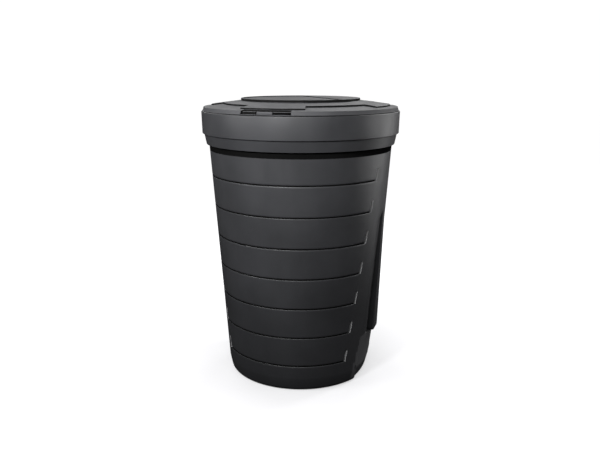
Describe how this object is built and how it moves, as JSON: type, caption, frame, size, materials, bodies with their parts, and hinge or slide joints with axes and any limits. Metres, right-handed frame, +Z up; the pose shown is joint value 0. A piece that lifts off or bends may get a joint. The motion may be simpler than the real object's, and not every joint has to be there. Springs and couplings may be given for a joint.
{
  "type": "water butt",
  "caption": "Tapered round rain barrel with board-pattern walls, a stepped collar, side ribs, a drop-in terraced lid with a hinged hatch and sliding bolt, a drain plug and a hose inlet.",
  "frame": {"origin": "middle of the base, on the floor", "axes": "+Z up along the barrel's axis, -Y to the front, where the lid's notch and the middle of the front boards are"},
  "size_m": [0.6599, 0.66, 0.9409],
  "materials": {
    "barrel_plastic": "satin moulded dark grey",
    "lid_plastic": "satin moulded dark grey",
    "fitting_plastic": "moulded black",
    "seal_rubber": "moulded rubber",
    "steel": "bright stainless"
  },
  "bodies": {
    "barrel": {"barrel_shell": "barrel_plastic", "outlet_fitting": "fitting_plastic", "outlet_gasket": "seal_rubber", "outlet_washer": "seal_rubber", "outlet_nut": "fitting_plastic", "inlet_grommet": "seal_rubber"},
    "plug": {"drain_plug": "fitting_plastic", "plug_seal": "seal_rubber"},
    "lid": {"lid_ring": "lid_plastic", "hinge_pins": "steel", "latch_guide": "fitting_plastic", "latch_screws": "steel", "latch_spring": "steel"},
    "bolt": {"latch_bolt": "lid_plastic"},
    "hatch_lid": {"hatch": "lid_plastic"}
  },
  "joints": [
    {"name": "lid_lift", "type": "slide", "parent": "barrel", "child": "lid", "axis": [0, 0, 1], "range_m": [0, 0.15]},
    {"name": "hatch_hinge", "type": "hinge", "parent": "lid", "child": "hatch_lid", "pos_m": [0, 0.26802, 0.92803], "axis": [-1, 0, 0], "range_deg": [0, 100]},
    {"name": "bolt_slide", "type": "slide", "parent": "lid", "child": "bolt", "axis": [0, 1, 0], "range_m": [0, 0.008]},
    {"name": "plug_turn", "type": "hinge", "parent": "barrel", "child": "plug", "pos_m": [-0.262, 0, 0.09], "axis": [-1, 0, 0], "range_deg": [0, 90]}
  ]
}
